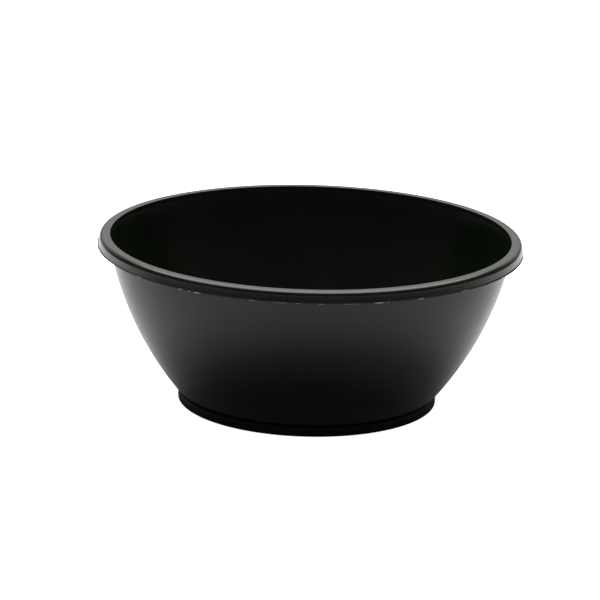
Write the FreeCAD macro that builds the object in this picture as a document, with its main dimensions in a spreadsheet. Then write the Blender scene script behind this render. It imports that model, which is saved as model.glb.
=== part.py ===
import FreeCAD, Part
import os

import Sketcher
from FreeCAD import Placement, Rotation, Vector

# Hair color bowl, 150 mm across and 60 mm tall, as a parametric document.
#
# Three pieces make the bowl, all of them turned about the Z axis:
#   bowl_shell  the thin polypropylene bowl, with a flange round its lip and a barbed rib under its floor
#   rim_band    a stepped band that snaps over the shell's flange
#   foot_ring   a soft non-slip ring that is pressed onto the shell's rib and stands on the table
# The origin is on the table, under the middle of the bowl, and +Z is up. Lengths are in millimetres.

# Driving dimensions. Radii are from the bowl's axis and heights are from the table.
DIMENSIONS = {
    # The bowl as a whole
    "BowlHeight": 60.0,
    "RimRadius": 75.0,
    "MouthRadius": 70.85,
    "FootRadius": 45.95,
    "FootHeight": 3.5,
    # bowl_shell: its wall is one bend from the foot to the neck, and nearly straight from there to the lip
    "WallThickness": 1.1,
    "BaseRadius": 45.6,
    "WallBend": 116.0,
    "NeckRadius": 70.45,
    "NeckHeight": 53.5,
    "LipRadius": 70.6,
    "FloorBlend": 9.0,
    "FlangeRadius": 72.8,
    "FlangeRoot": 71.1,
    "FlangeThickness": 1.2,
    "RibRadius": 43.0,
    "RibThickness": 1.6,
    "RibEnd": 1.0,
    "BarbHeight": 2.1,
    "BarbDepth": 0.3,
    "GateRadius": 6.0,
    "GateDepth": 0.4,
    "SprueRadius": 1.1,
    "EjectorCircle": 29.0,
    "EjectorRadius": 3.0,
    "EjectorDepth": 0.15,
    # rim_band: a round bead on top, a crease under it and a skirt that leans out to a trimmed edge
    "BandTop": 1.4,
    "BeadRadius": 74.7,
    "BeadLean": 0.6,
    "BeadHeight": 1.3,
    "BeadRound": 1.5,
    "CreaseDepth": 0.05,
    "SkirtEnd": 56.1,
    "SkirtEdge": 0.3,
    "SkirtWall": 1.0,
    "EdgeRound": 0.12,
    "HookDepth": 0.35,
    "HookHeight": 0.5,
    "SnapGap": 0.05,
    # foot_ring: a channel that holds the rib, with two grip grooves in its sole
    "ChannelWall": 1.6,
    "InnerLegHeight": 3.0,
    "FootRound": 0.3,
    "SoleRound": 0.4,
    "GripWidth": 0.7,
    "GripDepth": 0.35,
    "GripSpacing": 1.8,
}
EJECTOR_PINS = 6
SHEET = "Dimensions"
VOLUME_TOLERANCE = 1e-6
EDGE_TOLERANCE = 1e-3
# How far each arc of the shell's section bulges out from the line between its ends, roughly: the
# constraints settle the arcs from there
WALL_BULGE, FLARE_BULGE, BLEND_BULGE = 3.5, -0.1, 0.3


class Size:
    """A length with the sheet expression that drives it, so that a sum of sizes is an expression too."""

    def __init__(self, value, text):
        self.value = value
        self.text = text

    def __add__(self, other):
        return Size(self.value + other.value, f"({self.text} + {other.text})")

    def __sub__(self, other):
        return Size(self.value - other.value, f"({self.text} - {other.text})")

    def times(self, factor):
        return Size(self.value * factor, f"({self.text} * {factor})")


def size(alias):
    """The sheet cell with this alias, as a Size."""
    return Size(DIMENSIONS[alias], f"{SHEET}.{alias}")


ZERO = Size(0.0, "0")


def make_sheet(doc):
    """Writes the driving dimensions into a spreadsheet, one row each: name, value."""
    sheet = doc.addObject("Spreadsheet::Sheet", SHEET)
    for row, (alias, value) in enumerate(DIMENSIONS.items(), start=1):
        sheet.set(f"A{row}", alias)
        sheet.set(f"B{row}", str(value))
        sheet.setAlias(f"B{row}", alias)
    doc.recompute()
    return sheet


def make_body(doc, label):
    """A PartDesign body whose label names its file."""
    body = doc.addObject("PartDesign::Body", "Body_" + label)
    body.Label = label
    return body


def make_sketch(body, name, role="XZ_Plane"):
    """A sketch on one of the body's origin planes. On XZ_Plane, x is the radius and y the height."""
    sketch = body.newObject("Sketcher::SketchObject", name)
    plane = next(f for f in body.Origin.OriginFeatures if f.Role == role)
    sketch.AttachmentSupport = [(plane, "")]
    sketch.MapMode = "FlatFace"
    return sketch


def pin(sketch, kind, line, end, length):
    """Holds one end of a line at a distance from the sketch's origin along x or y, driven by the sheet."""
    index = sketch.addConstraint(Sketcher.Constraint(kind, -1, 1, line, end, length.value))
    sketch.setExpression(f"Constraints[{index}]", length.text)


def set_radius(sketch, curve, radius):
    """Holds the radius of an arc or a circle, driven by the sheet."""
    index = sketch.addConstraint(Sketcher.Constraint("Radius", curve, radius.value))
    sketch.setExpression(f"Constraints[{index}]", radius.text)


def draw_outline(sketch, corners):
    """Draws a closed outline of straight lines through corners, each a (radius, height) pair of Sizes."""
    points = [Vector(x.value, z.value, 0) for x, z in corners]
    count = len(points)
    for i in range(count):
        sketch.addGeometry(Part.LineSegment(points[i], points[(i + 1) % count]), False)
    for i in range(count):
        sketch.addConstraint(Sketcher.Constraint("Coincident", i, 2, (i + 1) % count, 1))
    for i, (x, z) in enumerate(corners):
        pin(sketch, "DistanceX", i, 1, x)
        pin(sketch, "DistanceY", i, 1, z)


def must_cut(feature):
    """Stops if a groove, a pocket or a pattern of them takes nothing away."""
    if feature.Shape.Volume > feature.BaseFeature.Shape.Volume - VOLUME_TOLERANCE:
        raise RuntimeError(f"{feature.Label} cuts nothing")


def turn(body, name, sketch, kind="PartDesign::Revolution"):
    """Revolves a sketch a full turn about the bowl's axis."""
    feature = body.newObject(kind, name)
    feature.Profile = sketch
    feature.ReferenceAxis = (sketch, ["V_Axis"])
    feature.Angle = 360
    body.Document.recompute()
    if kind == "PartDesign::Groove":
        must_cut(feature)
    return feature


def ring_edges(feature, places):
    """The names of the level circular edges at these (radius, height) places."""
    names = []
    for radius, height in places:
        for number, edge in enumerate(feature.Shape.Edges, start=1):
            curve = edge.Curve
            if not isinstance(curve, Part.Circle):
                continue
            off_radius = abs(curve.Radius - radius.value)
            off_height = abs(curve.Center.z - height.value)
            if max(off_radius, off_height) < EDGE_TOLERANCE:
                names.append(f"Edge{number}")
    return names


def round_edges(body, name, base, places, radius):
    """Fillets the circular edges at these places."""
    feature = body.newObject("PartDesign::Fillet", name)
    feature.Base = (base, ring_edges(base, places))
    feature.setExpression("Radius", radius.text)
    body.Document.recompute()
    return feature


def guess_arc(start, end, bulge, shift=0.0):
    """An arc between two points that bulges to the right of its way, all moved to the left by shift."""
    along = (end - start).normalize()
    right = Vector(along.y, -along.x, 0)
    middle = (start + end) * 0.5 + right * bulge
    return Part.Arc(start - right * shift, middle - right * shift, end - right * shift)


def draw_shell_outline(sketch):
    """The shell's section: the wall and its neck outside, the same one wall in, and the floor."""
    wall, foot = size("WallThickness"), size("FootHeight")
    floor = foot + wall
    top = size("BowlHeight") - size("BandTop")
    lip = size("LipRadius")

    # The arcs are drawn roughly, and the constraints then settle their centres, ends and radii
    base = Vector(size("BaseRadius").value, foot.value, 0)
    neck = Vector(size("NeckRadius").value, size("NeckHeight").value, 0)
    edge = Vector((lip + wall).value, top.value, 0)
    stretches = ((base, neck, WALL_BULGE), (neck, edge, FLARE_BULGE))
    bend, flare = (sketch.addGeometry(guess_arc(*ends), False) for ends in stretches)
    bend_in, flare_in = (
        sketch.addGeometry(guess_arc(*ends, shift=wall.value), False) for ends in stretches
    )
    reach = size("FloorBlend").value / 2
    corner = Vector(base.x, floor.value, 0)
    blend_start = corner - Vector(reach, 0, 0)
    blend_arc = guess_arc(blend_start, corner + Vector(reach, reach, 0), BLEND_BULGE)
    blend = sketch.addGeometry(blend_arc, False)
    on_axis = Vector(0, foot.value, 0)
    over_axis = Vector(0, floor.value, 0)
    lip_end = Vector(lip.value, top.value, 0)
    under_floor = sketch.addGeometry(Part.LineSegment(on_axis, base), False)
    lip_face = sketch.addGeometry(Part.LineSegment(edge, lip_end), False)
    floor_top = sketch.addGeometry(Part.LineSegment(over_axis, blend_start), False)
    axis = sketch.addGeometry(Part.LineSegment(over_axis, on_axis), False)

    # An arc runs counter-clockwise from end 1 to end 2, so only the flares have end 1 at the top
    for first, end, second, start in (
        (under_floor, 2, bend, 1),
        (flare, 1, lip_face, 1),
        (lip_face, 2, flare_in, 1),
        (floor_top, 1, axis, 1),
        (axis, 2, under_floor, 1),
    ):
        sketch.addConstraint(Sketcher.Constraint("Coincident", first, end, second, start))
    for first, end, second, start in (
        (bend, 2, flare, 2),
        (bend_in, 2, flare_in, 2),
        (blend, 2, bend_in, 1),
        (blend, 1, floor_top, 2),
    ):
        sketch.addConstraint(Sketcher.Constraint("Tangent", first, end, second, start))
    for outside, inside in ((bend, bend_in), (flare, flare_in)):
        sketch.addConstraint(Sketcher.Constraint("Coincident", outside, 3, inside, 3))
    for kind, line, end, length in (
        ("DistanceX", axis, 2, ZERO),
        ("DistanceY", axis, 2, foot),
        ("DistanceX", axis, 1, ZERO),
        ("DistanceY", axis, 1, floor),
        ("DistanceY", blend, 1, floor),
        ("DistanceX", bend, 1, size("BaseRadius")),
        ("DistanceY", bend, 1, foot),
        ("DistanceX", bend, 2, size("NeckRadius")),
        ("DistanceY", bend, 2, size("NeckHeight")),
        ("DistanceY", flare, 1, top),
        ("DistanceX", flare_in, 1, lip),
        ("DistanceY", flare_in, 1, top),
    ):
        pin(sketch, kind, line, end, length)
    for arc, radius in (
        (bend, size("WallBend")),
        (bend_in, size("WallBend") - wall),
        (blend, size("FloorBlend")),
    ):
        set_radius(sketch, arc, radius)


def make_bowl_shell(doc):
    """The bowl: its thin turned section, the flange round the lip, the rib below and the mould's marks."""
    body = make_body(doc, "bowl_shell")
    section = make_sketch(body, "ShellOutline")
    draw_shell_outline(section)
    turn(body, "Shell", section)
    foot = size("FootHeight")
    lip_top = size("BowlHeight") - size("BandTop")

    flange = make_sketch(body, "FlangeOutline")
    under = lip_top - size("FlangeThickness")
    draw_outline(flange, [
        (size("FlangeRoot"), under),
        (size("FlangeRadius"), under),
        (size("FlangeRadius"), lip_top),
        (size("FlangeRoot"), lip_top),
    ])
    turn(body, "Flange", flange)

    rib = make_sketch(body, "RibOutline")
    radius = size("RibRadius")
    barb = radius + size("BarbDepth")
    inside = radius - size("RibThickness")
    draw_outline(rib, [
        (inside, size("RibEnd")),
        (radius, size("RibEnd")),
        (barb, size("BarbHeight")),
        (radius, size("BarbHeight")),
        (radius, foot),
        (inside, foot),
    ])
    turn(body, "Rib", rib)

    gate = make_sketch(body, "GateOutline")
    dimple = foot + size("GateDepth")
    draw_outline(gate, [
        (size("SprueRadius"), foot),
        (size("GateRadius"), foot),
        (size("GateRadius") - size("GateDepth"), dimple),
        (size("SprueRadius"), dimple),
    ])
    turn(body, "Gate", gate, "PartDesign::Groove")
    mark_ejector_pins(body)
    return body


def mark_ejector_pins(body):
    """The shallow round marks that the mould's ejector pins leave under the floor."""
    marks = make_sketch(body, "EjectorOutline", "XY_Plane")
    marks.AttachmentOffset = Placement(Vector(0, 0, size("FootHeight").value), Rotation())
    marks.setExpression("AttachmentOffset.Base.z", size("FootHeight").text)
    centre = Vector(size("EjectorCircle").value, 0, 0)
    circle = Part.Circle(centre, Vector(0, 0, 1), size("EjectorRadius").value)
    pin_mark = marks.addGeometry(circle, False)
    pin(marks, "DistanceX", pin_mark, 3, size("EjectorCircle"))
    pin(marks, "DistanceY", pin_mark, 3, ZERO)
    set_radius(marks, pin_mark, size("EjectorRadius"))
    pocket = body.newObject("PartDesign::Pocket", "EjectorMark")
    pocket.Profile = marks
    pocket.Reversed = True
    pocket.setExpression("Length", size("EjectorDepth").text)
    body.Document.recompute()
    must_cut(pocket)
    pattern = body.newObject("PartDesign::PolarPattern", "EjectorMarks")
    pattern.Originals = [pocket]
    pattern.Axis = (marks, ["N_Axis"])
    pattern.Angle = 360
    pattern.Occurrences = EJECTOR_PINS
    body.Tip = pattern
    body.Document.recompute()


def make_rim_band(doc):
    """The band: an upside-down channel that sits on the shell's flange and hooks under its edge."""
    body = make_body(doc, "rim_band")
    section = make_sketch(body, "BandOutline")
    top = size("BowlHeight")
    seat = top - size("BandTop")
    crease = top - size("BeadHeight")
    bead = size("BeadRadius")
    shoulder = bead - size("BeadLean")
    under = seat - size("FlangeThickness") - size("SnapGap")
    groove = size("FlangeRadius") + size("SnapGap")
    hook = size("FlangeRadius") - size("HookDepth")
    rim, mouth = size("RimRadius"), size("MouthRadius")
    draw_outline(section, [
        (size("LipRadius"), seat),
        (groove, seat),
        (groove, under),
        (hook, under),
        (hook, under - size("HookHeight")),
        (rim - size("SkirtWall"), size("SkirtEnd")),
        (rim, size("SkirtEnd")),
        (rim, size("SkirtEnd") + size("SkirtEdge")),
        (bead - size("CreaseDepth"), crease),
        (bead, crease),
        (shoulder, top),
        (mouth, top),
    ])
    ring = turn(body, "Band", section)
    rounded = round_edges(body, "Bead", ring, [(shoulder, top)], size("BeadRound"))
    round_edges(body, "Edges", rounded, [(rim, size("SkirtEnd")), (mouth, top)], size("EdgeRound"))
    return body


def make_foot_ring(doc):
    """The foot: a channel that closes round the barbed rib, flat underneath with grip grooves."""
    body = make_body(doc, "foot_ring")
    section = make_sketch(body, "FootOutline")
    gap, foot = size("SnapGap"), size("FootHeight")
    outside = size("FootRadius")
    rib_out = size("RibRadius") + gap
    rib_in = size("RibRadius") - size("RibThickness") - gap
    barb = rib_out + size("BarbDepth")
    barb_top = size("BarbHeight") + gap
    inner_leg = rib_in - size("ChannelWall")
    sole_top = size("RibEnd") - gap
    draw_outline(section, [
        (inner_leg, ZERO),
        (outside, ZERO),
        (outside, foot),
        (rib_out, foot),
        (rib_out, barb_top),
        (barb, barb_top),
        (rib_out, sole_top),
        (rib_in, sole_top),
        (rib_in, size("InnerLegHeight")),
        (inner_leg, size("InnerLegHeight")),
    ])
    ring = turn(body, "Foot", section)
    rounded = round_edges(body, "Shoulder", ring, [(outside, foot)], size("FootRound"))
    round_edges(body, "SoleEdges", rounded, [(outside, ZERO), (inner_leg, ZERO)], size("SoleRound"))

    middle = (outside + inner_leg).times(0.5)
    for number, side in enumerate((-0.5, 0.5), start=1):
        grip = make_sketch(body, f"GripOutline{number}")
        start = middle + size("GripSpacing").times(side) - size("GripWidth").times(0.5)
        end = start + size("GripWidth")
        depth = size("GripDepth")
        draw_outline(grip, [(start, ZERO), (end, ZERO), (end, depth), (start, depth)])
        turn(body, f"Grip{number}", grip, "PartDesign::Groove")
    return body


def check(doc, bodies):
    """Stops if any object has failed, or a piece isn't one valid solid."""
    for item in doc.Objects:
        if "Invalid" in item.State or "Error" in item.State:
            raise RuntimeError(f"{item.Label} has failed: {item.State}")
    for body in bodies:
        shape = body.Shape
        if shape.isNull() or not shape.isValid() or len(shape.Solids) != 1:
            raise RuntimeError(f"{body.Label} isn't one valid solid")
        print(f"{body.Label}: {shape.Volume:.0f} mm3")


def check_fit(bodies):
    """Stops if two pieces share any volume: they meet face to face, or with the snap gap."""
    for number, first in enumerate(bodies):
        for second in bodies[number + 1:]:
            shared = first.Shape.common(second.Shape).Volume
            if shared > VOLUME_TOLERANCE:
                raise RuntimeError(f"{first.Label} and {second.Label} share {shared} mm3")


def main():
    doc = FreeCAD.newDocument("HairColorBowl")
    make_sheet(doc)
    bodies = [make_bowl_shell(doc), make_rim_band(doc), make_foot_ring(doc)]
    doc.recompute()
    check(doc, bodies)
    check_fit(bodies)
    os.makedirs("parts", exist_ok=True)
    for body in bodies:
        body.Shape.exportStep(f"parts/{body.Label}.step")


main()
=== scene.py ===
import math

import bpy
import numpy as np
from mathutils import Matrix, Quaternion, Vector


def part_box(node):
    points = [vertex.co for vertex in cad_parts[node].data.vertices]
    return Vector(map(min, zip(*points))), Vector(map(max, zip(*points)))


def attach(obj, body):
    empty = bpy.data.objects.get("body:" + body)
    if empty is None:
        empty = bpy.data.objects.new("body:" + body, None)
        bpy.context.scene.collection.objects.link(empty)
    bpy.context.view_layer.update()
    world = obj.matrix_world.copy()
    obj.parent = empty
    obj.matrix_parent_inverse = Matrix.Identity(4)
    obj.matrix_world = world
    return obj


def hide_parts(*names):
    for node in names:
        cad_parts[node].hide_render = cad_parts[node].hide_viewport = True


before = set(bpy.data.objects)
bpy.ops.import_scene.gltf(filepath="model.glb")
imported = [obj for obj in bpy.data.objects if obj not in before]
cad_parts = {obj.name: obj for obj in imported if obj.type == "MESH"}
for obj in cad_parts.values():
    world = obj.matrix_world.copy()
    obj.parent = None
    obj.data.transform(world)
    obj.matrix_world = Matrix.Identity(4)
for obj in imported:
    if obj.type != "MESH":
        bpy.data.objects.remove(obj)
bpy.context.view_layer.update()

# Hair color bowl in black satin polypropylene: the shell, the band snapped over its rim, and the rubber
# ring it stands on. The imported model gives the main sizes, and the rest are the maker's own below, in
# millimetres from the bowl's axis and from the table.

METRE = 0.001


def millimetres(node):
    """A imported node's outer radius, lowest and highest point."""
    low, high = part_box(node)
    return (high.x / METRE, low.z / METRE, high.z / METRE)


FLANGE_RADIUS, RIB_END, SEAT = millimetres("bowl_shell")
RIM_RADIUS, SKIRT_END, BOWL_HEIGHT = millimetres("rim_band")
FOOT_RADIUS, TABLE, FOOT_HEIGHT = millimetres("foot_ring")

# The shell's wall, as arcs that follow each other: radius, and slope in degrees where each one ends.
# A negative radius bends the other way, as the flare at the lip does.
WALL = 1.1
BASE_RADIUS, BASE_SLOPE = 45.6, 49.65
WALL_ARCS = ((116.0, 77.50), (-87.11, 74.24))
FLOOR_RADIUS, FLOOR_BLEND, BLEND_SLOPE = 40.8, 9.0, 52.12
FLANGE = 1.2
RIB_RADIUS, RIB = 43.0, 1.6
BARB_HEIGHT, BARB = 2.1, 0.3
GATE_RADIUS, GATE_DEPTH, SPRUE_RADIUS = 6.0, 0.4, 1.1
EJECTOR_CIRCLE, EJECTOR_RADIUS, EJECTOR_DEPTH, EJECTOR_EDGE, EJECTOR_PINS = 29.0, 3.0, 0.15, 0.6, 6

# The band
LIP_RADIUS, MOUTH_RADIUS = 70.6, 70.85
BEAD_RADIUS, BEAD_LEAN, BEAD_HEIGHT, BEAD_ROUND = 74.7, 0.6, 1.3, 1.5
CREASE, COVE, SKIRT_WALL, SKIRT_EDGE = 0.05, 0.015, 1.0, 0.3
HOOK, HOOK_HEIGHT, SNAP_GAP = 0.35, 0.5, 0.05
SEAT_SPLIT = 0.3
FLASH_THICKNESS, FLASH_ROOT, FLASH_FALL = 0.12, 0.05, 0.03

# The foot ring
CHANNEL_WALL, INNER_LEG = 1.6, 3.0
FOOT_ROUND, SOLE_ROUND = 0.3, 0.4
GRIP_WIDTH, GRIP_DEPTH, GRIP_SPACING = 0.7, 0.35, 1.8
SEAM_HEIGHT = 1.5

# How much the small corners are rounded
CREASE_ROUND, SEAT_ROUND, BARB_ROUND, EDGE_ROUND = 0.01, 0.03, 0.08, 0.1
CORNER_ROUND, ROOT_ROUND, BLEND_ROUND = 0.15, 0.2, 0.3

# How fine the meshes are: turns round the axis, the longest step along each outline, and points in the
# skirt's hollow
BOWL_TURNS, BAND_TURNS, FOOT_TURNS = 360, 1080, 480
ARC_STEP, UNDERSIDE_STEP, WALL_STEP = 2.0, 0.7, 2.0
CHANNEL_STEP, BEAD_STEP, FOOT_STEP = 0.8, 0.6, 0.5
COVE_POINTS = 9

# Where an outline starts off the axis, and how far short two of its stretches stop where they meet
POLE_RADIUS, BASE_JOIN, FLANGE_JOIN, SHARE_ON = 0.2, 0.2, 0.1, 0.1


def arc_points(start, slope, arcs, spacing):
    """Points along tangent arcs. On an arc of radius R whose slope turns from a to t, the point moves from
    its start by R (sin t - sin a) outwards and R (cos a - cos t) upwards."""
    points = [np.array([start], float)]
    for radius, end_slope in arcs:
        a, b = math.radians(slope), math.radians(end_slope)
        count = max(3, int(abs(radius * (b - a)) / spacing))
        t = np.linspace(a, b, count + 1)[1:]
        run = radius * np.stack([np.sin(t) - math.sin(a), math.cos(a) - np.cos(t)], axis=1)
        points.append(points[-1][-1] + run)
        slope = end_slope
    return np.concatenate(points)


# A turn, in radians, too small to round, and a distance that counts as none
STRAIGHT, SAME_POINT = 1e-3, 1e-6


def rounded(corners, steps=6):
    """An outline with its corners rounded. Each corner is (radius from the axis, height, rounding), and a
    rounding R takes R tan(half the turn) off both sides and puts an arc of R between them. A corner with
    no rounding, or at either end of the outline, stays as it is."""
    corners = [np.array(c, float) for c in corners]
    points = [corners[0][None, :2]]
    for before, corner, after in zip(corners, corners[1:], corners[2:]):
        p, size = corner[:2], corner[2]
        back, on = before[:2] - p, after[:2] - p
        back, on = back / np.linalg.norm(back), on / np.linalg.norm(on)
        turn = math.pi - math.acos(np.clip(back @ on, -1, 1))
        if size == 0 or turn < STRAIGHT:
            points.append(p[None])
            continue
        reach = size * math.tan(turn / 2)
        centre = p + (back + on) / np.linalg.norm(back + on) * size / math.cos(turn / 2)
        first, last = p + back * reach - centre, p + on * reach - centre
        t = np.linspace(0, 1, steps + 1)[:, None]
        swing = (np.sin((1 - t) * turn) * first + np.sin(t * turn) * last) / math.sin(turn)
        points.append(centre + swing)
    points.append(corners[-1][None, :2])
    return np.concatenate(points)


def spread(points, longest):
    """Divides every stretch of an outline that is longer than this, so that shading stays even on flats."""
    steps = np.linalg.norm(np.diff(points, axis=0), axis=1)
    pieces = [
        np.linspace(a, b, max(1, math.ceil(step / longest)), endpoint=False)
        for a, b, step in zip(points, points[1:], steps)
        if step > SAME_POINT
    ]
    return np.concatenate([*pieces, points[-1:]])


def lathe(name, profile, turns, poles=False, radial=None, vertical=None, masks=None):
    """A surface turned about the bowl's axis. Point (i, j) is the profile's point i carried round to angle
    2 pi j / turns: x = r cos, y = r sin, z = height. The profile runs with the solid on its left, so that
    faces look outwards. It is a closed loop, or it starts and ends on the axis, where poles closes it with
    one point and a fan. radial and vertical are added to the radius and the height of each point (i, j),
    and masks are kept as attributes of the points for the materials."""
    angle = 2 * math.pi * np.arange(turns) / turns
    radius = profile[:, :1] + (0 if radial is None else radial)
    height = profile[:, 1:] + (0 if vertical is None else vertical) + 0 * angle
    grid = np.stack([radius * np.cos(angle), radius * np.sin(angle), height], axis=2)
    rows = len(profile)
    i, j = np.meshgrid(np.arange(rows if not poles else rows - 1), np.arange(turns), indexing="ij")
    up, on = (i + 1) % rows, (j + 1) % turns
    quads = np.stack([i * turns + j, i * turns + on, up * turns + on, up * turns + j], axis=2)
    points, faces = grid.reshape(-1, 3), quads.reshape(-1, 4).tolist()
    if poles:
        first, last, row = len(points), len(points) + 1, np.arange(turns)
        ends = [[0, 0, profile[0, 1]], [0, 0, profile[-1, 1]]]
        points = np.concatenate([points, ends])
        after = (row + 1) % turns
        start = (rows - 1) * turns
        faces += np.stack([np.full(turns, first), after, row], axis=1).tolist()
        faces += np.stack([np.full(turns, last), start + row, start + after], axis=1).tolist()
    mesh = bpy.data.meshes.new(name)
    mesh.from_pydata((points * METRE).tolist(), [], faces)
    mesh.shade_smooth()
    for mask_name, values in (masks or {}).items():
        flat = np.zeros(len(points), np.float32)
        flat[: rows * turns] = np.broadcast_to(values, (rows, turns)).ravel()
        mesh.attributes.new(mask_name, "FLOAT", "POINT").data.foreach_set("value", flat)
    mesh.validate()
    piece = bpy.data.objects.new(name, mesh)
    bpy.context.scene.collection.objects.link(piece)
    return piece


def ejector_marks(radius, height, turns):
    """How far each point under the floor is sunk by the round ejector marks: the full depth inside a mark,
    easing to nothing over a narrow edge. The marks repeat evenly round a circle, so only the distance to
    the middle of the nearest one is needed."""
    sector = 2 * math.pi / EJECTOR_PINS
    angle = (2 * math.pi * np.arange(turns) / turns + sector / 2) % sector - sector / 2
    away = np.hypot(radius * np.cos(angle) - EJECTOR_CIRCLE, radius * np.sin(angle))
    edge = np.clip((EJECTOR_RADIUS - away) / EJECTOR_EDGE + 0.5, 0, 1)
    flat = np.abs(height - FOOT_HEIGHT) < SAME_POINT
    return flat * EJECTOR_DEPTH * edge * edge * (3 - 2 * edge)


def make_bowl():
    """The shell: underside, rib, outer wall, flange, inner wall and floor as one outline turned round."""
    under_flange = SEAT - FLANGE
    rib_inside = RIB_RADIUS - RIB
    dimple = FOOT_HEIGHT + GATE_DEPTH
    below = rounded([
        (POLE_RADIUS, FOOT_HEIGHT, 0),
        (SPRUE_RADIUS, FOOT_HEIGHT, EDGE_ROUND),
        (SPRUE_RADIUS, dimple, EDGE_ROUND),
        (GATE_RADIUS - GATE_DEPTH, dimple, ROOT_ROUND),
        (GATE_RADIUS, FOOT_HEIGHT, EDGE_ROUND),
        (rib_inside, FOOT_HEIGHT, BLEND_ROUND),
        (rib_inside, RIB_END, CORNER_ROUND),
        (RIB_RADIUS, RIB_END, CORNER_ROUND),
        (RIB_RADIUS + BARB, BARB_HEIGHT, BARB_ROUND),
        (RIB_RADIUS, BARB_HEIGHT, BARB_ROUND),
        (RIB_RADIUS, FOOT_HEIGHT, ROOT_ROUND),
        (BASE_RADIUS - BASE_JOIN, FOOT_HEIGHT, 0),
    ], steps=3)
    outside = arc_points((BASE_RADIUS, FOOT_HEIGHT), BASE_SLOPE, WALL_ARCS, ARC_STEP)
    outside = outside[outside[:, 1] < under_flange - FLANGE_JOIN]
    inner_arcs = [(FLOOR_BLEND, BLEND_SLOPE)] + [(radius - WALL, slope) for radius, slope in WALL_ARCS]
    inside = arc_points((FLOOR_RADIUS, FOOT_HEIGHT + WALL), 0, inner_arcs, ARC_STEP)[::-1]
    meets = outside[-1] + (outside[-1] - outside[-2]) * SHARE_ON
    lip = rounded([
        (meets[0], under_flange, 0),
        (FLANGE_RADIUS, under_flange, CORNER_ROUND),
        (FLANGE_RADIUS, SEAT, CORNER_ROUND),
        (inside[0, 0], SEAT, SEAT_ROUND),
        (inside[1, 0], inside[1, 1], 0),
    ], steps=4)
    floor = np.array([[POLE_RADIUS, FOOT_HEIGHT + WALL]])
    underside = spread(below, UNDERSIDE_STEP)
    rest = spread(np.concatenate([outside, lip, inside[2:], floor]), WALL_STEP)
    profile = np.concatenate([underside, rest])
    sunk = ejector_marks(profile[:, :1], profile[:, 1:], BOWL_TURNS)
    sunk[len(underside):] = 0
    return lathe("bowl", profile, BOWL_TURNS, poles=True, vertical=sunk)


# Where the skirt's lower edge stands out: degrees round from the front towards +X, from and to, and how
# far in millimetres. A lip is a long stretch that wasn't trimmed quite flush, and flash is torn; its pale
# colour is partly stress-whitening and partly a painted glint.
# The first flash is a hair's breadth all along the front.
LIPS = ((-112, -66, 0.3), (46, 86, 0.4))
FLASH = (
    (-34, 34, 0.04),
    (-177, -171, 0.16), (-163, -161, 0.22), (-148, -139, 0.12), (-126, -124, 0.26), (-112, -104, 0.10),
    (-93, -90, 0.18), (-74, -71, 0.20), (-52, -49.5, 0.24), (-35.9, -34.8, 0.36), (-33.0, -32.3, 0.26),
    (-31.3, -29.2, 0.36), (-15.9, -13.8, 0.15), (-9.2, -5.4, 0.12), (-3.4, -2.3, 0.19), (2.5, 3.5, 0.22),
    (8.6, 13.0, 0.10), (16.9, 19.6, 0.45), (20.2, 21.0, 0.20), (28.9, 31.0, 0.30), (43, 46, 0.16),
    (61, 63, 0.24), (79, 86, 0.12), (104, 106, 0.28), (117, 124, 0.12), (139, 141, 0.22), (156, 164, 0.14),
)
FLASH_LONGEST = max(reach for _, _, reach in FLASH)
RAGGED_SEED, RAGGED_SHARE = 11, 0.45


def reach_out(turns, stretches):
    """How far the skirt's edge reaches out at each angle: in each stretch it rises and falls as the root
    of a half sine, and smoothed random numbers take up to almost half of that away."""
    angle = (360 * np.arange(turns) / turns + 90 + 180) % 360 - 180
    random = np.random.default_rng(RAGGED_SEED).uniform(0, 1, turns)
    ragged = (random + np.roll(random, 1)) / 2
    reach = np.zeros(turns)
    for start, end, longest in stretches:
        share = np.clip((angle - start) / (end - start), 0, 1)
        reach = reach + longest * np.sin(math.pi * share) ** 0.5
    return reach * (1 - RAGGED_SHARE + RAGGED_SHARE * ragged / ragged.max())


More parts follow.
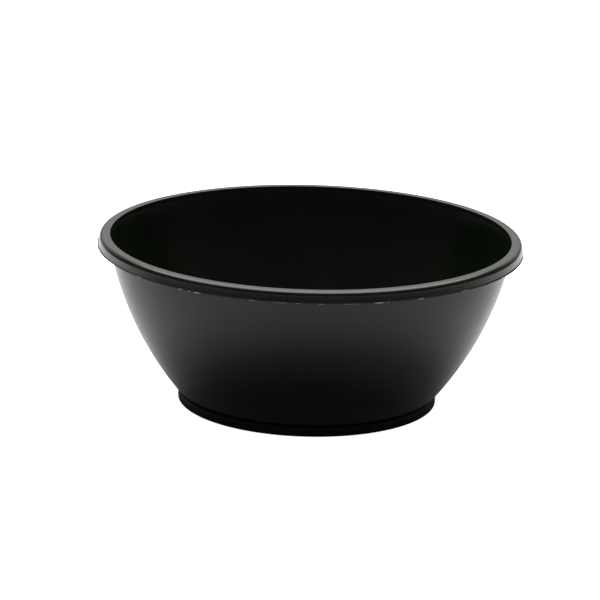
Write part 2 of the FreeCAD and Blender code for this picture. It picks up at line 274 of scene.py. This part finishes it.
def make_band():
    """The rim band: its channel, hook, coved skirt and rounded bead, with flash along the skirt's edge."""
    crease = BOWL_HEIGHT - BEAD_HEIGHT
    under = SEAT - FLANGE - SNAP_GAP
    groove = FLANGE_RADIUS + SNAP_GAP
    hook = FLANGE_RADIUS - HOOK
    inside = rounded([
        (LIP_RADIUS + SEAT_SPLIT, SEAT, 0),
        (groove, SEAT, EDGE_ROUND),
        (groove, under, BARB_ROUND),
        (hook, under, BARB_ROUND),
        (hook, under - HOOK_HEIGHT, EDGE_ROUND),
        (RIM_RADIUS - SKIRT_WALL, SKIRT_END, CORNER_ROUND),
        (RIM_RADIUS - FLASH_ROOT, SKIRT_END, 0),
    ], steps=3)
    flash_top = SKIRT_END + FLASH_THICKNESS
    tip = np.array([(RIM_RADIUS, SKIRT_END), (RIM_RADIUS, flash_top)])
    trimmed = np.array([(RIM_RADIUS, flash_top + FLASH_FALL), (RIM_RADIUS, SKIRT_END + SKIRT_EDGE)])

    # The skirt's face is hollow: it falls in from a straight line by a parabola, COVE deep in the middle.
    low = trimmed[1]
    high = np.array([BEAD_RADIUS - CREASE, crease])
    t = np.linspace(0, 1, COVE_POINTS)[:, None]
    across = np.array([high[1] - low[1], low[0] - high[0]]) / np.linalg.norm(high - low)
    cove = low + (high - low) * t - across * COVE * 4 * t * (1 - t)

    outside = rounded([
        (*cove[-2], 0),
        (*high, CREASE_ROUND),
        (BEAD_RADIUS, crease, SEAT_ROUND),
        (BEAD_RADIUS - BEAD_LEAN, BOWL_HEIGHT, BEAD_ROUND),
        (MOUTH_RADIUS, BOWL_HEIGHT, CORNER_ROUND),
        (LIP_RADIUS, SEAT, SEAT_ROUND),
        (LIP_RADIUS + SEAT_SPLIT, SEAT, 0),
    ], steps=8)
    inside = spread(inside, CHANNEL_STEP)
    outside = spread(np.concatenate([cove[1:-2], outside[:-1]]), BEAD_STEP)
    profile = np.concatenate([inside, tip, trimmed, outside])
    # The trimmed edge is the tip, the two points above it and the one before it.
    on_tip, on_trim = np.zeros((len(profile), 1)), np.zeros((len(profile), 1))
    on_tip[len(inside):len(inside) + 2] = 1
    on_trim[len(inside) - 1:len(inside) + 4] = 1
    flash = on_tip * reach_out(BAND_TURNS, FLASH)
    return lathe("band", profile, BAND_TURNS, radial=flash + on_tip * reach_out(BAND_TURNS, LIPS),
                 masks={"flash": flash / FLASH_LONGEST, "trimmed": on_trim})


def make_foot():
    """The foot ring: a channel round the rib, a rounded shoulder, and grooves in the sole for grip."""
    rib_out, rib_in = RIB_RADIUS + SNAP_GAP, RIB_RADIUS - RIB - SNAP_GAP
    leg, sole = rib_in - CHANNEL_WALL, RIB_END - SNAP_GAP
    middle = (leg + FOOT_RADIUS) / 2
    grips = []
    for side in (-0.5, 0.5):
        start = middle + GRIP_SPACING * side - GRIP_WIDTH / 2
        end = start + GRIP_WIDTH
        grips += [(start, TABLE, EDGE_ROUND), (start, TABLE + GRIP_DEPTH, EDGE_ROUND)]
        grips += [(end, TABLE + GRIP_DEPTH, EDGE_ROUND), (end, TABLE, EDGE_ROUND)]
    outline = rounded([
        (leg, TABLE + SEAM_HEIGHT, 0),
        (leg, TABLE, SOLE_ROUND),
        *grips,
        (FOOT_RADIUS, TABLE, SOLE_ROUND),
        (FOOT_RADIUS, FOOT_HEIGHT, FOOT_ROUND),
        (rib_out, FOOT_HEIGHT, CORNER_ROUND),
        (rib_out, BARB_HEIGHT + SNAP_GAP, 0),
        (rib_out + BARB, BARB_HEIGHT + SNAP_GAP, 0),
        (rib_out, sole, EDGE_ROUND),
        (rib_in, sole, EDGE_ROUND),
        (rib_in, INNER_LEG, CORNER_ROUND),
        (leg, INNER_LEG, BLEND_ROUND),
        (leg, TABLE + SEAM_HEIGHT, 0),
    ])
    return lathe("foot", spread(outline, FOOT_STEP)[:-1], FOOT_TURNS)


def linear(colour):
    """An sRGB hex colour as the linear RGBA that shaders take."""
    parts = np.array([int(colour[i:i + 2], 16) for i in (1, 3, 5)]) / 255
    return (*np.where(parts <= 0.04045, parts / 12.92, ((parts + 0.055) / 1.055) ** 2.4), 1.0)


def per_metre(size):
    """The scale of a pattern whose blobs are this many millimetres across."""
    return 1 / (size * METRE)


def wire(tree, node, links):
    """Gives inputs of a node a value or a socket."""
    for name, value in links.items():
        if isinstance(value, bpy.types.NodeSocket):
            tree.links.new(value, node.inputs[name])
        else:
            node.inputs[name].default_value = value


def add(tree, kind, links=None, **settings):
    """Adds a node and gives back its outputs. The settings are its own properties."""
    node = tree.nodes.new("ShaderNode" + kind)
    for name, value in settings.items():
        setattr(node, name, value)
    wire(tree, node, links or {})
    return node.outputs


def new_material(name):
    """A material with its shader, and the place on the piece that a pattern is read at, in metres."""
    material = bpy.data.materials.new(name)
    material.use_nodes = True
    tree = material.node_tree
    return material, tree, tree.nodes["Principled BSDF"], add(tree, "TexCoord")["Object"]


# Noise keeps mostly between these two values, which are stretched to the whole of a pattern's range.
NOISE_LOW, NOISE_HIGH = 0.3, 0.7
PLASTIC_IOR = 1.5
CLOUD_SIZE, MARK_SPACING, GRAIN_SIZE, GRAIN_DEPTH, GRAIN_STRENGTH = 14.0, 0.9, 0.7, 0.1, 0.04
MARKS_SHARE, GLOSS_CHANGE = 0.4, 0.03
SCRATCH_LENGTH, SCRATCH_SLIMNESS, SCRATCH_TURN = 9.0, 16.0, (0.5, 0.9, 0.3)
SCRATCH_START, SCRATCH_FULL, SCRATCH_DULLING = 0.66, 0.74, 0.05
TORN_ROUGHNESS, PALE_FLASH = 0.9, 0.5


def satin_finish(tree, place, roughness, dark, light):
    """The colour, roughness and normal of satin polypropylene: plastic that is black all through, injection
    moulded against turned and blasted steel. The eye gets a soft black with a broad, blurred highlight."""
    # Where the plastic flowed it is cloudy, a shade lighter or duller, about 14 mm from cloud to cloud.
    cloud = add(tree, "TexNoise", {"Vector": place, "Scale": per_metre(CLOUD_SIZE), "Detail": 3.0})["Fac"]
    shade = add(tree, "MapRange", {"Value": cloud, "From Min": NOISE_LOW, "From Max": NOISE_HIGH})["Result"]
    colour = add(tree, "Mix", {"Factor": shade, 6: linear(dark), 7: linear(light)}, data_type="RGBA")[2]

    # Turning marks of the mould run round the bowl. The real ones are about 0.1 mm apart, too fine to show,
    # so they are drawn 0.9 mm apart. They depend only on the distance from the axis and on the height.
    flat = add(tree, "VectorMath", {0: place, 1: (1, 1, 0)}, operation="MULTIPLY")["Vector"]
    radius = add(tree, "VectorMath", {0: flat}, operation="LENGTH")["Value"]
    height = add(tree, "SeparateXYZ", {"Vector": place})["Z"]
    section = add(tree, "CombineXYZ", {"X": radius, "Z": height})["Vector"]
    marks = add(tree, "TexNoise", {"Vector": section, "Scale": per_metre(MARK_SPACING)})["Fac"]
    gloss = add(tree, "Mix", {"Factor": MARKS_SHARE, 2: cloud, 3: marks}, data_type="FLOAT")[0]
    satin = add(tree, "MapRange", {"Value": gloss, "From Min": NOISE_LOW, "From Max": NOISE_HIGH,
                                   "To Min": roughness - GLOSS_CHANGE,
                                   "To Max": roughness + GLOSS_CHANGE})["Result"]

    # A brush and a cloth wiped round the bowl leave sparse dull scratches, level ones about 9 mm long. They
    # are about 0.1 mm wide and are drawn 0.6 mm wide. The turn comes after the squeeze along Z, and only
    # keeps the noise from lining up with the axes.
    squeezed = add(tree, "Mapping", {"Vector": place, "Rotation": SCRATCH_TURN,
                                     "Scale": (1, 1, SCRATCH_SLIMNESS)})["Vector"]
    lines = add(tree, "TexNoise", {"Vector": squeezed, "Scale": per_metre(SCRATCH_LENGTH)})["Fac"]
    scratches = add(tree, "MapRange", {"Value": lines, "From Min": SCRATCH_START, "From Max": SCRATCH_FULL,
                                       "To Min": 0.0, "To Max": SCRATCH_DULLING})["Result"]
    rough = add(tree, "Math", {0: satin, 1: scratches}, operation="ADD")["Value"]

    # The blasted grain is about 0.05 mm across, and is drawn 0.7 mm across.
    grain = add(tree, "TexNoise", {"Vector": place, "Scale": per_metre(GRAIN_SIZE), "Detail": 3.0})["Fac"]
    normal = add(tree, "Bump", {"Height": grain, "Strength": GRAIN_STRENGTH,
                                "Distance": GRAIN_DEPTH * METRE})["Normal"]
    return colour, rough, normal


def shell_plastic():
    """The shell's plastic: black with a trace of green, glossiest of the three."""
    material, tree, shader, place = new_material("satin_polypropylene")
    colour, rough, normal = satin_finish(tree, place, 0.19, "#0b1109", "#0f150c")
    wire(tree, shader, {"Base Color": colour, "Roughness": rough, "Normal": normal, "IOR": PLASTIC_IOR})
    return material


def band_plastic():
    """The band's plastic: the same, a little greyer and duller. Along its trimmed edge it is torn matt, and
    where
    flash is left it is painted pale: partly the whitening of stretched, torn plastic, partly a painted
    glint."""
    material, tree, shader, place = new_material("satin_polypropylene_band")
    colour, rough, normal = satin_finish(tree, place, 0.23, "#13150f", "#181a14")
    trimmed = add(tree, "Attribute", attribute_name="trimmed")["Fac"]
    torn = add(tree, "Math", {0: trimmed, 1: TORN_ROUGHNESS}, operation="MULTIPLY")["Value"]
    rough = add(tree, "Math", {0: rough, 1: torn}, operation="MAXIMUM")["Value"]
    flash = add(tree, "Attribute", attribute_name="flash")["Fac"]
    # The flash's pale colour is partly stress-whitening and partly a painted glint where light catches its
    # edge.
    pale_flash_glint = add(tree, "MapRange", {"Value": flash, "From Max": PALE_FLASH})["Result"]
    colour = add(tree, "Mix", {"Factor": pale_flash_glint, 6: colour, 7: linear("#d0d2ca")}, data_type="RGBA")[2]
    wire(tree, shader, {"Base Color": colour, "Roughness": rough, "Normal": normal, "IOR": PLASTIC_IOR})
    return material


RUBBER_CLOUD_SIZE, RUBBER_GRAIN_SIZE, RUBBER_GRAIN_STRENGTH = 9.0, 0.5, 0.1
RUBBER_GLOSSIEST, RUBBER_DULLEST, RUBBER_SPECULAR = 0.5, 0.6, 0.25
DUST_START, DUST_END, DUST_SHARE = 0.02, 0.1, 0.6


def foot_rubber():
    """Thermoplastic rubber, black and moulded: to the eye duller than the plastic, with hardly a highlight.
    Its grain is about 0.1 mm across and is drawn 0.5 mm across, and dust greys the sole it stands on."""
    material, tree, shader, place = new_material("thermoplastic_rubber")
    cloud = add(tree, "TexNoise", {"Vector": place, "Scale": per_metre(RUBBER_CLOUD_SIZE)})["Fac"]
    shade = add(tree, "MapRange", {"Value": cloud, "From Min": NOISE_LOW, "From Max": NOISE_HIGH})["Result"]
    black = add(tree, "Mix", {"Factor": shade, 6: linear("#151713"), 7: linear("#1b1d19")},
                data_type="RGBA")[2]
    height = add(tree, "SeparateXYZ", {"Vector": place})["Z"]
    dusty = add(tree, "MapRange", {"Value": height, "From Min": (TABLE + DUST_START) * METRE,
                                   "From Max": (TABLE + DUST_END) * METRE,
                                   "To Min": DUST_SHARE, "To Max": 0.0})["Result"]
    dust = add(tree, "Math", {0: dusty, 1: shade}, operation="MULTIPLY")["Value"]
    colour = add(tree, "Mix", {"Factor": dust, 6: black, 7: linear("#4a4944")}, data_type="RGBA")[2]
    rough = add(tree, "MapRange", {"Value": shade, "To Min": RUBBER_GLOSSIEST,
                                   "To Max": RUBBER_DULLEST})["Result"]
    grain = add(tree, "TexNoise", {"Vector": place, "Scale": per_metre(RUBBER_GRAIN_SIZE),
                                   "Detail": 3.0})["Fac"]
    normal = add(tree, "Bump", {"Height": grain, "Strength": RUBBER_GRAIN_STRENGTH,
                                "Distance": GRAIN_DEPTH * METRE})["Normal"]
    wire(tree, shader, {"Base Color": colour, "Roughness": rough, "Normal": normal,
                        "Specular IOR Level": RUBBER_SPECULAR})
    return material


# How brightly the paper glows for the camera, and for everything else close by and far behind. The change
# lies between these distances behind the bowl's axis, in metres.
PAPER_GLOW, SPILL, FAR_SPILL = 1.0, 0.03, 0.5
SPILL_START, SPILL_END = 0.03, 0.2
FLOOR_REACH = 6.0


def make_floor():
    """A plain pale floor, level with the table."""
    signs = ((-1, -1), (1, -1), (1, 1), (-1, 1))
    corners = [(x * FLOOR_REACH, y * FLOOR_REACH, TABLE * METRE) for x, y in signs]
    mesh = bpy.data.meshes.new("floor")
    mesh.from_pydata(corners, [], [(0, 1, 2, 3)])
    floor = bpy.data.objects.new("floor", mesh)
    bpy.context.scene.collection.objects.link(floor)
    material, tree, shader, place = new_material("white_paper")
    depth = add(tree, "SeparateXYZ", {"Vector": place})["Y"]
    spill = add(tree, "MapRange", {"Value": depth, "From Min": SPILL_START, "From Max": SPILL_END,
                                   "To Min": SPILL, "To Max": FAR_SPILL})["Result"]
    seen = add(tree, "LightPath")["Is Camera Ray"]
    glow = add(tree, "Mix", {"Factor": seen, 2: spill, 3: PAPER_GLOW}, data_type="FLOAT")[0]
    wire(tree, shader, {"Base Color": linear("#a8a5a3"), "Roughness": 0.9, "Specular IOR Level": 0.0,
                        "Emission Color": linear("#ffffff"), "Emission Strength": glow})
    mesh.materials.append(material)


# The studio's surround: bright paper low down behind the bowl, and a dark room on the camera's side. It is
# drawn by direction, as a unit vector: the Y at which the paper starts and is whole, and the Z of its foot,
# its brightest line and its top, with how bright it is at its foot and top.
BACKDROP, DARK_ROOM = 1.0, 0.05
PAPER_SIDE, PAPER_WHOLE = 0.6, 0.95
PAPER_FOOT, PAPER_MIDDLE, PAPER_TOP = 0.1, 0.3, 0.65
FOOT_GLOW, TOP_GLOW = 0.15, 0.05
SOFTBOX_SPOT, SOFTBOX_AIM, SOFTBOX_SIZE, SOFTBOX_POWER = (0.0, 0.45, 1.2), (0.0, 0.0, 0.0), 1.8, 27.5
PAPER_LIGHT_SPOT, PAPER_LIGHT_AIM = (-0.12, 0.7, 1.3), (0.0, 0.2, 0.0)
PAPER_LIGHT_SIZE, PAPER_LIGHT_POWER = 1.2, 32.0


def make_studio():
    """The surround, one soft light overhead, and one that lights the paper and isn't seen in the gloss."""
    world = bpy.data.worlds.new("studio")
    bpy.context.scene.world = world
    world.use_nodes = True
    tree = world.node_tree
    toward = add(tree, "SeparateXYZ", {"Vector": add(tree, "TexCoord")["Generated"]})
    behind = add(tree, "MapRange", {"Value": toward["Y"], "From Min": PAPER_SIDE,
                                    "From Max": PAPER_WHOLE}, interpolation_type="SMOOTHSTEP")["Result"]
    lifted = add(tree, "MapRange", {"Value": toward["Z"], "From Min": PAPER_FOOT, "From Max": PAPER_MIDDLE,
                                    "To Min": FOOT_GLOW, "To Max": 1.0})["Result"]
    falling = add(tree, "MapRange", {"Value": toward["Z"], "From Min": PAPER_MIDDLE, "From Max": PAPER_TOP,
                                     "To Min": 1.0, "To Max": TOP_GLOW})["Result"]
    low = add(tree, "Math", {0: lifted, 1: falling}, operation="MULTIPLY")["Value"]
    paper = add(tree, "Math", {0: behind, 1: low}, operation="MULTIPLY")["Value"]
    glow = add(tree, "MapRange", {"Value": paper, "To Min": DARK_ROOM, "To Max": BACKDROP})["Result"]
    seen = add(tree, "LightPath")["Is Camera Ray"]
    strength = add(tree, "Mix", {"Factor": seen, 2: glow, 3: 1.0}, data_type="FLOAT")[0]
    wire(tree, tree.nodes["Background"], {"Color": linear("#ffffff"), "Strength": strength})

    hang_light("softbox", SOFTBOX_SPOT, SOFTBOX_AIM, SOFTBOX_SIZE, SOFTBOX_POWER)
    paper_light = hang_light("paper_light", PAPER_LIGHT_SPOT, PAPER_LIGHT_AIM, PAPER_LIGHT_SIZE,
                             PAPER_LIGHT_POWER)
    paper_light.visible_glossy = False


def hang_light(name, spot, aim, size, power):
    """A round soft light of this size in metres, at a spot and turned to an aim."""
    light = bpy.data.lights.new(name, "AREA")
    light.shape, light.size, light.energy = "DISK", size, power
    lamp = bpy.data.objects.new(name, light)
    lamp.location = spot
    lamp.rotation_euler = (Vector(aim) - Vector(spot)).to_track_quat("-Z", "Y").to_euler()
    bpy.context.scene.collection.objects.link(lamp)
    return lamp


# The camera: how far and how high it looks from, its tilt, and where the bowl sits in the frame
DISTANCE, ELEVATION, TILT, LENS = 1.25, 16.18, 1.57, 210.94
AIM_HEIGHT, SHIFT_X, SHIFT_Y = 0.03, -0.01462, 0.0277
NEAREST, FARTHEST = 0.05, 40.0


def make_camera():
    """A long lens a little above the rim, looking along +Y."""
    camera = bpy.data.objects.new("camera", bpy.data.cameras.new("camera"))
    bpy.context.scene.collection.objects.link(camera)
    bpy.context.scene.camera = camera
    rise = math.radians(ELEVATION)
    back = Vector((0, -math.cos(rise), math.sin(rise)))
    camera.location = Vector((0, 0, AIM_HEIGHT)) + back * DISTANCE
    camera.rotation_mode = "QUATERNION"
    camera.rotation_quaternion = back.to_track_quat("Z", "Y") @ Quaternion((0, 0, 1), math.radians(TILT))
    camera.data.lens = LENS
    camera.data.shift_x, camera.data.shift_y = SHIFT_X, SHIFT_Y
    camera.data.clip_start, camera.data.clip_end = NEAREST, FARTHEST


def fit(piece, node, material):
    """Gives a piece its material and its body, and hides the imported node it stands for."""
    piece.data.materials.append(material)
    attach(piece, "root")
    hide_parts(node)


make_camera()
make_studio()
make_floor()
bpy.context.scene.view_settings.view_transform = "Standard"
fit(make_bowl(), "bowl_shell", shell_plastic())
fit(make_band(), "rim_band", band_plastic())
fit(make_foot(), "foot_ring", foot_rubber())
